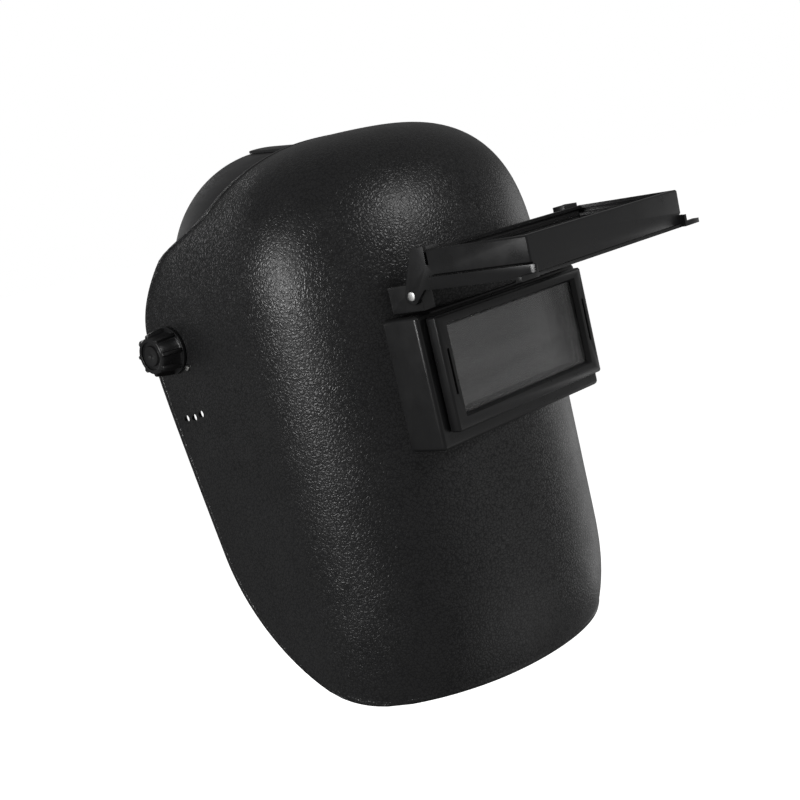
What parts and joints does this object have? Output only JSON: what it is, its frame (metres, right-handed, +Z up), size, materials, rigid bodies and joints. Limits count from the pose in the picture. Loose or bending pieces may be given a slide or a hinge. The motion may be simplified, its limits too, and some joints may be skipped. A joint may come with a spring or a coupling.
{
  "type": "welding helmet",
  "caption": "Full-face welding helmet: moulded shell, flip-up filter holder over a fixed clear window, friction side knobs, and a ratchet headband with a crown strap.",
  "frame": {"origin": "the head seat: the middle of the headband, level with the two side pivots", "axes": "+Z up as worn, the front of the helmet faces -Y, the wearer's left is +X"},
  "size_m": [0.2172, 0.3141, 0.2869],
  "materials": {
    "shell_plastic": "black polypropylene with a moulded leather grain",
    "satin_plastic": "smooth satin black moulding",
    "steel": "bright plated steel",
    "clear_lens": "clear polished",
    "shade_glass": "dark green welding filter",
    "rubber": "matt black",
    "strap_plastic": "flexible black polyethylene strip, slightly shiny",
    "brow_pad": "knitted fabric over foam, stitched edge"
  },
  "bodies": {
    "headgear": {"headband_front": "strap_plastic", "sweatband": "brow_pad", "crown_strap_left": "strap_plastic", "crown_strap_right": "strap_plastic", "strap_stud_left": "strap_plastic", "strap_stud_right": "strap_plastic", "side_plate_left": "satin_plastic", "side_plate_right": "satin_plastic", "pivot_bolt_left": "steel", "pivot_bolt_right": "steel", "friction_washer_left": "rubber", "friction_washer_right": "rubber"},
    "shell": {"face_shell": "shell_plastic", "lens_frame": "satin_plastic", "clear_lens": "clear_lens", "lens_gasket": "rubber", "inner_lens": "clear_lens", "inner_lens_retainer": "satin_plastic", "retainer_spring": "steel", "hinge_pin_left": "steel", "hinge_pin_right": "steel", "stop_plate_left": "satin_plastic", "stop_plate_right": "satin_plastic", "stop_pin_left": "steel", "stop_pin_right": "steel"},
    "filter_holder": {"flip_cover": "satin_plastic", "flip_inner_frame": "satin_plastic", "filter_clip": "steel", "shade_filter": "shade_glass", "cover_plate": "clear_lens", "filter_gasket": "rubber"},
    "knob_right": {"pivot_knob_right": "satin_plastic"},
    "knob_left": {"pivot_knob_left": "satin_plastic"},
    "rear_band": {"rear_band_left": "strap_plastic", "rear_band_right": "strap_plastic", "ratchet_base": "satin_plastic", "ratchet_cover": "satin_plastic"},
    "ratchet_drive": {"ratchet_knob": "satin_plastic", "ratchet_pinion": "satin_plastic"}
  },
  "joints": [
    {"name": "shell_tilt", "type": "hinge", "parent": "headgear", "child": "shell", "pos_m": [0, 0.021, 0], "axis": [-1, 0, 0], "range_deg": [0, 75]},
    {"name": "filter_flip", "type": "hinge", "parent": "shell", "child": "filter_holder", "pos_m": [0, -0.122, 0.005], "axis": [1, 0, 0], "range_deg": [0, 88.6]},
    {"name": "knob_turn_right", "type": "hinge", "parent": "headgear", "child": "knob_right", "pos_m": [-0.096, 0.021, 0], "axis": [-1, 0, 0], "range_deg": [0, 360]},
    {"name": "knob_turn_left", "type": "hinge", "parent": "headgear", "child": "knob_left", "pos_m": [0.096, 0.021, 0], "axis": [1, 0, 0], "range_deg": [0, 360]},
    {"name": "band_size", "type": "slide", "parent": "headgear", "child": "rear_band", "axis": [0, 1, 0], "range_m": [0, 0.036]},
    {"name": "ratchet_turn", "type": "hinge", "parent": "rear_band", "child": "ratchet_drive", "pos_m": [0, 0.1, -0.017], "axis": [0, 1, 0], "range_deg": [0, 360]}
  ],
  "couplings": [
    {"joint": "ratchet_turn", "follows": "band_size", "rad_per_m": 174.5}
  ]
}
